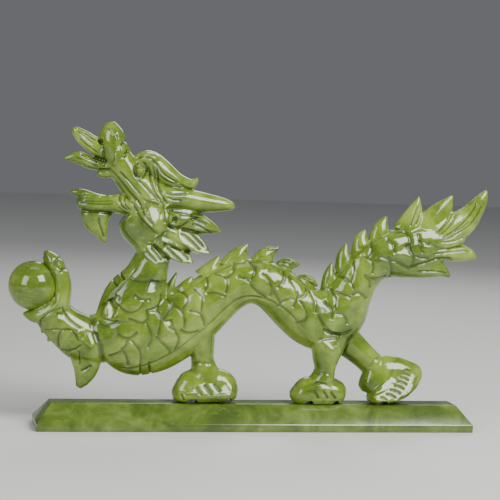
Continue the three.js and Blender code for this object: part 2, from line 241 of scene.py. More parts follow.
# how finely the limbs are drawn out, and how the joined stone is rubbed down (voxel in millimetres)
roughing = {
    "sides": 24, "leafSides": 16, "spans": 4, "thinnest": 0.5, "ballSegments": (24, 16),
    "voxel": 0.55, "smoothing": 5, "softness": 0.5,
}


def through(knots, spans):
    # points on a smooth line through the knots
    knots = [np.array(knot, float) for knot in knots]
    line = []
    for i in range(len(knots) - 1):
        before = knots[max(i - 1, 0)]
        start, end = knots[i], knots[i + 1]
        after = knots[min(i + 2, len(knots) - 1)]
        for step in range(spans):
            t = step / spans
            line.append(0.5 * (2 * start + (end - before) * t
                               + (2 * before - 5 * start + 4 * end - after) * t ** 2
                               + (3 * start - before - 3 * end + after) * t ** 3))
    line.append(knots[-1])
    return line


def addLimb(name, sections, side=0.0, sides=None):
    rings = through(sections, roughing["spans"])
    middles = [atPlace(x, height, side) for x, height, tall, deep in rings]
    thinnest = roughing["thinnest"]
    sizes = [(max(tall, thinnest) * unit, max(deep, thinnest) * unit) for x, height, tall, deep in rings]
    turns = []
    for i in range(len(middles)):
        heading = middles[min(i + 1, len(middles) - 1)] - middles[max(i - 1, 0)]
        turns.append(math.atan2(heading.x, heading.z))
    bpy.ops.mesh.primitive_circle_add(
        vertices=sides or roughing["sides"], radius=1, fill_type="NGON",
        location=middles[0], rotation=(0, turns[0], 0))
    limb = bpy.context.object
    limb.name = name
    editAll()
    tall, deep = 1.0, 1.0
    for i, middle in enumerate(middles):
        if i:
            bpy.ops.mesh.extrude_region_move(TRANSFORM_OT_translate={"value": middle - middles[i - 1]})
            swing = (turns[i] - turns[i - 1] + math.pi) % (2 * math.pi) - math.pi
            bpy.ops.transform.rotate(value=-swing, orient_axis="Y", center_override=middle)
        bpy.ops.transform.resize(
            value=(sizes[i][0] / tall, sizes[i][1] / deep, 1), center_override=middle, orient_type="GLOBAL",
            orient_matrix_type="GLOBAL", orient_matrix=Matrix.Rotation(turns[i], 3, "Y"))
        tall, deep = sizes[i]
    bpy.ops.mesh.select_all(action="SELECT")
    bpy.ops.mesh.normals_make_consistent(inside=False)
    bpy.ops.object.mode_set(mode="OBJECT")
    return limb


def addLeaf(name, leaf, halfDepth):
    root, bend, tip = leaf
    sections = [[*root, halfDepth], [*bend, halfDepth * fins["bendShare"]], [*tip, *fins["tip"]]]
    return addLimb(name, sections, sides=roughing["leafSides"])


def addBall(name, x, height, side, radii):
    segments, rings = roughing["ballSegments"]
    bpy.ops.mesh.primitive_uv_sphere_add(
        segments=segments, ring_count=rings, radius=1, location=atPlace(x, height, side))
    ball = bpy.context.object
    ball.name = name
    ball.scale = [radius * unit for radius in radii]
    placeInMesh(ball)
    return ball


limbSide = {"nearThigh": -5, "farThigh": 5, "nearFoot": -3, "farFoot": 3, "farToes": -2, "farClaw": 3}
limbs = [addLimb(name, sections, limbSide.get(name, 0)) for name, sections in rough.items()]
limbs += [addLeaf("fin", leaf, fins["halfDepth"]) for leaf in fins["leaves"]]
limbs += [addLeaf("barb", leaf, fins["barbDepth"]) for leaf in fins["barbs"]]

clawSections = []
for degrees, rise, thick, deep in clawRound:
    turn = math.radians(degrees)
    out = pearlRadius / unit + rise + thick / 2
    clawSections.append([
        pearlMiddle.x / unit + math.cos(turn) * out,
        drawn["level"] + (pearlMiddle.z - standing) / unit + math.sin(turn) * out,
        thick / 2, deep])
limbs.append(addLimb("clawRound", clawSections))

for side in (-1, 1):
    for name, (x, height, out, radii) in faceBalls.items():
        limbs.append(addBall(name, x, height, side * out, radii))
    bpy.ops.mesh.primitive_torus_add(
        location=atPlace(earCurl["x"], earCurl["height"], side * earCurl["side"]), rotation=(math.pi / 2, 0, 0),
        major_radius=earCurl["ring"] * unit, minor_radius=earCurl["wire"] * unit,
        major_segments=earCurl["segments"][0], minor_segments=earCurl["segments"][1])
    limbs.append(bpy.context.object)
print("rough carving:", len(limbs), "limbs")

dragon = joinInto("dragon", limbs)
placeInMesh(dragon)
applyModifier(dragon, "REMESH", mode="VOXEL", voxel_size=roughing["voxel"] * unit, adaptivity=0.0)
applyModifier(dragon, "SMOOTH", factor=roughing["softness"], iterations=roughing["smoothing"])
print("rough carving remeshed:", len(dragon.data.vertices), "points")


def readPoints(mesh, what="co"):
    flat = np.empty(len(mesh.vertices) * 3, dtype=np.float32)
    mesh.vertices.foreach_get(what, flat)
    return flat.reshape(-1, 3).astype(np.float64)


def writePoints(mesh, points):
    mesh.vertices.foreach_set("co", points.astype(np.float32).ravel())
    mesh.update()


def ramp(value, low, high):
    t = np.clip((value - low) / (high - low), 0, 1)
    return t * t * (3 - 2 * t)


# the drawing is of the middle plane seen from front left, so what lies out on a side is slid over to it
slant = {"along": 0.211, "up": -0.082}

# how the chisel works, in millimetres where it is a length
chisel = {
    "facing": (0.12, 0.4), "front": 0.45,   # how far a surface has to face the side to be cut, a little and fully
    "lean": (0.14, 0.34), "share": 0.4, "edge": 0.7,   # a flat's, where it doesn't say
    "reach": 1.5, "spans": 4, "grooveEnd": 0.12, "ridgeEnd": 0.08,   # of a line, in its widths and its lengths
    "farAway": 1e9, "deepest": 1.5, "triangles": 190000,
}


class Stone:
    # the carving's points in the drawing's millimetres, with what is cut from them
    def __init__(self, obj):
        self.mesh = obj.data
        self.refresh()

    def refresh(self):
        points = readPoints(self.mesh)
        self.x = points[:, 0] / unit
        self.y = points[:, 1] / unit
        self.z = (points[:, 2] - standing) / unit + drawn["level"]
        self.along = self.x + slant["along"] * np.abs(self.y)
        self.up = self.z + slant["up"] * np.abs(self.y)
        self.normal = readPoints(self.mesh, "normal")
        self.facing = ramp(np.abs(self.normal[:, 1]), *chisel["facing"])
        self.cut = np.zeros(len(points))

    def commit(self):
        points = np.stack([self.x, self.y, self.z], axis=1)
        points -= self.normal * self.cut[:, None]
        points[:, :2] *= unit
        points[:, 2] = (points[:, 2] - drawn["level"]) * unit + standing
        writePoints(self.mesh, points)
        self.refresh()


def alongLine(stone, line, reach):
    # distance from a drawn line, how far along it (0 to 1) and on which side, for the points near it
    line = np.array(line, float)
    near = np.flatnonzero((stone.along > line[:, 0].min() - reach) & (stone.along < line[:, 0].max() + reach)
                          & (stone.up > line[:, 1].min() - reach) & (stone.up < line[:, 1].max() + reach))
    spot = np.stack([stone.along[near], stone.up[near]], axis=1)
    best = np.full(len(near), chisel["farAway"])
    along = np.zeros(len(near))
    side = np.zeros(len(near))
    lengths = np.linalg.norm(np.diff(line, axis=0), axis=1)
    before = np.concatenate([[0], np.cumsum(lengths)])
    for i, length in enumerate(lengths):
        if length == 0:
            continue
        way = (line[i + 1] - line[i]) / length
        rel = spot - line[i]
        t = np.clip(rel @ way, 0, length)
        off = rel - t[:, None] * way
        distance = np.hypot(off[:, 0], off[:, 1])
        closer = distance < best
        best[closer] = distance[closer]
        along[closer] = (before[i] + t[closer]) / before[-1]
        side[closer] = (way[0] * rel[closer, 1] - way[1] * rel[closer, 0])
    return near, best, along, side


def cutGroove(stone, line, width, depth, facing=True):
    near, distance, along, side = alongLine(stone, through(line, chisel["spans"]), width * chisel["reach"])
    profile = np.exp(-(distance / (width / 2)) ** 2)
    ends = ramp(along, 0, chisel["grooveEnd"]) * ramp(1 - along, 0, chisel["grooveEnd"])
    reached = stone.facing[near] if facing else 1.0
    stone.cut[near] = np.maximum(stone.cut[near], depth * profile * ends * reached)


def raiseRidge(stone, line, width, height):
    near, distance, along, side = alongLine(stone, through(line, chisel["spans"]), width * chisel["reach"])
    end = chisel["ridgeEnd"]
    profile = np.exp(-(distance / (width / 2)) ** 2) * ramp(along, 0, end) * ramp(1 - along, 0, end)
    stone.cut[near] = np.minimum(stone.cut[near], -height * profile * stone.facing[near])


def cutScale(stone, line, form):
    # the free edge of a scale: a groove with a steep wall on the line's right and a slight hollow on its left
    points = np.array(line, float)
    first = points[0] + (points[0] - points[1]) * form["past"]
    last = points[-1] + (points[-1] - points[-2]) * form["past"]
    line = through([first, *points, last], chisel["spans"])
    near, distance, along, side = alongLine(stone, line, form["fade"] * form["reach"])
    groove = np.exp(-(distance / np.where(side > 0, form["slope"], form["wall"])) ** 2)
    hollow = np.where(side > 0, np.exp(-distance / form["fade"]), 0)
    ends = ramp(along, 0, form["taper"]) * ramp(1 - along, 0, form["taper"])
    cut = (form["groove"] * groove + form["hollow"] * hollow * (1 - groove)) * ends * stone.facing[near]
    stone.cut[near] = np.maximum(stone.cut[near], cut)


def insideLine(stone, outline):
    outline = np.array(outline, float)
    inside = np.zeros(len(stone.x), bool)
    for (x0, z0), (x1, z1) in zip(outline, np.roll(outline, -1, axis=0)):
        crosses = ((z0 > stone.up) != (z1 > stone.up))
        with np.errstate(divide="ignore", invalid="ignore"):
            at = (x1 - x0) * (stone.up - z0) / (z1 - z0) + x0
        inside ^= crosses & (stone.along < at)
    return inside


def grindFlat(stone, flat):
    # a flat ground into both sides inside an outline, leaning up and to the right so that it catches the window
    which = np.flatnonzero(insideLine(stone, flat["outline"]))
    leanRight, leanUp = flat.get("lean", chisel["lean"])
    off = stone.y[which]
    if "side" in flat:
        which = which[off * flat["side"] > 0]
        off = stone.y[which]
    lean = leanRight * stone.along[which] + leanUp * stone.up[which]
    if "through" in flat:
        x, height, depth = flat["through"]
        kept = depth + leanRight * x + leanUp * height
    else:
        front = np.abs(stone.normal[which, 1]) > chisel["front"]
        kept = np.quantile((np.abs(off) + lean)[front], flat.get("share", chisel["share"]))
    change = kept - lean - np.abs(off)
    if not flat.get("filled"):
        change = np.minimum(change, 0)
    border = alongOutline(stone, which, flat["outline"])
    weight = ramp(border, 0, flat.get("edge", chisel["edge"])) * stone.facing[which]
    stone.y[which] += np.sign(off) * change * weight


def alongOutline(stone, which, outline):
    outline = np.array(list(outline) + [outline[0]], float)
    spot = np.stack([stone.along[which], stone.up[which]], axis=1)
    best = np.full(len(which), chisel["farAway"])
    for start, end in zip(outline[:-1], outline[1:]):
        length = np.linalg.norm(end - start)
        way = (end - start) / length
        rel = spot - start
        t = np.clip(rel @ way, 0, length)
        off = rel - t[:, None] * way
        best = np.minimum(best, np.hypot(off[:, 0], off[:, 1]))
    return best


stone = Stone(dragon)

# flats ground before the detail: outline, share of the stone left below, lean right and up, softness of the edge
flats = [
    # cheek, and the three bright locks
    {"outline": [[-82.5, 153.5], [-78, 152], [-70.5, 150.5], [-69.9, 144.9], [-70.7, 137.1], [-73.5, 135.7],
     [-77, 140.8], [-79, 147.3]], "filled": True, "lean": (0.14, 0.34), "through": (-75, 144, 13), "edge": 0.6},
    {"outline": [[-58, 135.5], [-50, 133.8], [-42.5, 131.2], [-35.5, 118.3], [-41, 117], [-49, 119.6], [-57.5, 128]],
     "filled": True},
    {"outline": [[-67, 125.5], [-58, 121.7], [-49, 118.3], [-46.8, 111], [-54, 110], [-62, 113], [-68, 120]],
     "filled": True},
    {"outline": [[-82, 124.5], [-74, 123.7], [-67.2, 119.5], [-63.5, 112], [-72, 109.5], [-80, 115]], "filled": True},
    {"outline": [[-50, 143.8], [-40, 142], [-28, 132], [-34, 130.3], [-46, 132.5]], "lean": (0.05, 0.12)},
    # side of the snout, square on, and the throat, turned down and away from the window
    {"outline": [[-101, 190], [-96, 190], [-92, 177], [-90.5, 169], [-87, 166], [-80.5, 164.8], [-76.5, 159.5],
     [-69, 153.5], [-72, 151.8], [-79, 153.5], [-85, 155.5], [-91, 161], [-96, 167], [-101, 174]],
     "lean": (-0.03, 0.04), "share": 0.3, "edge": 1.2},
    {"outline": [[-97, 148], [-90, 151], [-80, 139], [-73, 133], [-68, 131], [-80, 116], [-88, 120], [-94, 131]],
     "lean": (-0.12, -0.06), "share": 0.35, "edge": 2.5},
    # toes of the forefoot, and of the far foot on its near side only
    {"outline": [[-50.5, 23.6], [-40.5, 30.6], [-29.5, 31.7], [-16.8, 30.6], [-16.5, 23.4]], "filled": True,
     "lean": (0.09, 0.4), "through": (-34, 23.5, 13.5), "edge": 0.5},
    {"outline": [[79.8, 23.2], [83.1, 27.4], [89.8, 33.4], [99.1, 38.5], [105.9, 41.5], [111.3, 40.6], [114.4, 37.8],
     [111, 28.5], [105.6, 22.8], [100.1, 19.2], [84.4, 19.2]], "filled": True, "lean": (0.1, 0.4),
     "through": (95, 22, 12.2), "edge": 0.6, "side": -1},
    # nose leaves
    {"outline": [[-129.5, 197], [-124, 196.5], [-114, 191], [-110, 186], [-112, 182], [-118, 184.5], [-125, 189.5]],
     "lean": (0.05, 0.2)},
    {"outline": [[-135, 178.6], [-130.5, 180.6], [-125, 181.6], [-117, 178.2], [-108, 176.4], [-108, 173.2],
     [-117, 173.4], [-127, 177]], "lean": (0.1, 0.3)},
    # patches on the neck, the shoulder, the hump, the claw, the arm, the tail and the thigh
    {"outline": [[-74.5, 99.2], [-69, 98.6], [-71, 91], [-76, 84.5], [-80.5, 86.5], [-77.5, 92]]},
    {"outline": [[-76.5, 79.5], [-68.5, 83], [-66.5, 74], [-70.5, 71.5], [-75.5, 73.5]]},
    {"outline": [[-66.5, 72.5], [-59, 74], [-56.5, 66], [-62.5, 62], [-68, 66.5]]},
    {"outline": [[-107, 84], [-99.5, 87.5], [-95, 81.5], [-99, 73.5], [-106.5, 71.5]], "lean": (0.25, 0.3)},
    {"outline": [[90, 112], [92.5, 122.5], [100, 129], [104, 128], [107.2, 118.8], [104.5, 112], [98, 110]],
     "share": 0.65, "edge": 2},
    {"outline": [[105, 119.5], [104, 128.5], [107, 131.5], [118, 131.5], [117, 123], [111, 119.5]], "share": 0.65,
     "edge": 2},
    {"outline": [[-139.8, 90.2], [-136.6, 91.4], [-136, 83.6], [-140.9, 77.7], [-146.6, 74.6], [-148.1, 76.1],
     [-142.5, 81.3]], "share": 0.5, "edge": 1.5},
    {"outline": [[-146, 114.5], [-141, 116], [-136.6, 112], [-134, 105], [-138.5, 103.5], [-142, 108.5]],
     "share": 0.5},
    {"outline": [[-137.5, 77.5], [-131.5, 77.5], [-123, 71], [-118, 66.3], [-121, 60], [-128, 66.2], [-135, 69.5]],
     "share": 0.5, "edge": 2, "filled": True},
    {"outline": [[-117, 66.5], [-108.5, 64], [-107, 57.5], [-113, 52.5], [-119.5, 58.5]], "share": 0.5, "edge": 1.2,
     "filled": True},
    {"outline": [[44, 70], [50, 66.5], [57, 65.5], [56, 58], [49, 52], [44, 58]]},
]
for flat in flats:
    grindFlat(stone, flat)
stone.commit()
print("flats ground:", len(flats))

# free edges of the scales, each drawn with the hollow on its left
scales = {
    "form": {"groove": 0.9, "hollow": 0.5, "fade": 3.4, "slope": 1.15, "wall": 0.7, "taper": 0.04, "past": 0.4,
        "reach": 3},
    "edges": [
        [[-96, 71.5], [-98.5, 70], [-102, 69], [-105, 69.5], [-108, 70.5]],
        [[-79, 84], [-81, 81], [-84, 79], [-87, 78], [-91, 79], [-95, 82]],
        [[-74.5, 87], [-76.5, 86.5], [-78.5, 86.5], [-82, 87.5], [-84.5, 89.5]],
        [[-76.5, 79], [-75.5, 74.5], [-77.5, 72], [-80.5, 71.5], [-83.5, 72.5], [-87.5, 74]],
        [[-70.5, 79.5], [-68, 76.5], [-67, 72.5], [-67.5, 68.5], [-68.5, 64.5]],
        [[-75.5, 69.5], [-73, 65], [-72.8, 60.5], [-74.5, 56]],
        [[-83, 64.5], [-85.5, 62], [-88.5, 61], [-92, 61.5], [-94.5, 63.5]],
        [[-89, 59.5], [-90, 55.5], [-93, 52], [-96, 50], [-100, 48.5]],
        [[-88, 60], [-84.5, 57.5], [-81.5, 54], [-80, 50], [-79.5, 45]],
        [[-92, 52.5], [-89.5, 48], [-88.5, 43.5]],
        [[-69, 61], [-66, 58.3], [-63.5, 56], [-61, 53.5], [-60, 50.5]],
        [[-60, 67.5], [-56.5, 65], [-54.5, 61.5], [-55, 57.5], [-56.5, 53.5]],
        [[-58.5, 83], [-55, 80.5], [-52.5, 77.5], [-51, 73.5], [-51, 69]],
        [[-64, 87.5], [-61.5, 85.5], [-60.5, 82.5], [-62, 78.5], [-65, 74.5]],
        [[-45.5, 94], [-42.5, 92], [-40, 89], [-39.5, 85.5], [-40, 80.5]],
        [[-56, 93], [-52, 91], [-50, 88], [-50.5, 84.5], [-52.5, 81.5]],
        [[-47, 79.5], [-43, 78.5], [-40, 77], [-38.5, 74.5], [-37.5, 70.5]],
        [[-42, 66], [-46, 65], [-50, 65.5], [-52.5, 67]],
        [[-31, 104.5], [-27, 103.5], [-24, 101.5], [-23, 98.5], [-23, 96], [-24, 92.5]],
        [[-38, 102], [-37, 99.5], [-37, 96.5], [-38.5, 94]],
        [[-24, 90], [-28, 91.5], [-32, 92.5], [-36, 92]],
        [[-15, 103], [-10.5, 101.5], [-7.5, 99], [-5.5, 96], [-2.5, 93], [1, 90.5], [3.5, 88.5]],
        [[-9.5, 113.5], [-6, 111], [-4.5, 108], [-5, 105], [-7, 102]],
        [[-19.5, 111.5], [-19.5, 108], [-20.5, 105.5], [-23, 103]],
        [[1.5, 104.5], [5, 101], [7, 98], [7.5, 94], [6.5, 91]],
        [[7, 97.5], [9.5, 92.5], [11.5, 89], [13.5, 85.5]],
        [[15.5, 106.5], [16, 102], [14.5, 99], [11.5, 97]],
        [[20, 103], [23.5, 97.5], [25, 93], [25, 89], [23, 84.5]],
        [[31.5, 96], [31, 92.5], [29, 90.3], [25.5, 89.3]],
        [[13, 84], [17, 87.5], [22, 88.5], [25, 87.5]],
        [[32.5, 77.5], [31, 75], [28.5, 73.3], [25.5, 73]],
        [[34.5, 93.5], [37, 90], [38.3, 86.5], [38, 81.5]],
        [[27, 87.5], [30, 84.5], [32, 81], [32.5, 77.5]],
        [[45, 86.5], [48.5, 83], [50, 80], [49.5, 76.5]],
        [[48.5, 95], [51, 91], [52.3, 87], [52, 83]],
        [[53, 93.5], [57.5, 92.5], [61.5, 90.5]],
        [[53.5, 79], [57.5, 78.3], [60, 76], [60.5, 73]],
        [[55, 104], [59, 102.5], [62.5, 100.3], [64, 97]],
        [[63, 114], [63.8, 109], [63.6, 104.5], [62.5, 101]],
        [[64, 92.5], [67.5, 93.3], [71, 92.5], [73.5, 90]],
        [[70, 118.8], [74, 117], [76.8, 114.5], [77.6, 111.5], [77, 108]],
        [[75, 128], [75.5, 124], [75, 121], [74, 118.5]],
        [[85.5, 105.3], [80.5, 104.2], [76, 104.2], [72.5, 106]],
        [[88, 117.5], [90, 112.5], [90.5, 107.5], [89, 104]],
        [[86.5, 130], [89.5, 128.8], [91.5, 126.5], [92, 122.5]],
        [[84, 118], [90, 116], [94.5, 115], [98.5, 113], [102.5, 111]],
        [[73, 104], [75.3, 102], [76, 98.5]],
        [[101, 126], [104, 122.3], [105.8, 119], [106, 116], [105, 113]],
        [[109, 134], [110, 130], [110.6, 126.5], [111.8, 123]],
        [[98.5, 137], [101.5, 134], [103, 130], [102, 126]],
        [[107.5, 119.3], [111.5, 118.2], [115.5, 118]],
        [[117, 128], [122, 126.2], [126.5, 125]],
        [[-74.5, 99.7], [-79, 98.8], [-84, 99.2], [-87.5, 100.8]],
        [[-64, 99.5], [-68, 98.6], [-72, 98.9], [-74.5, 99.7]],
        [[-98.5, 89], [-100, 86.3], [-103.5, 84], [-107.5, 83]],
        [[-67.5, 88.5], [-67.8, 84.5], [-70.5, 81], [-73.5, 80]],
    ],
}
for edge in scales["edges"]:
    cutScale(stone, edge, scales["form"])
print("scales cut:", len(scales["edges"]))

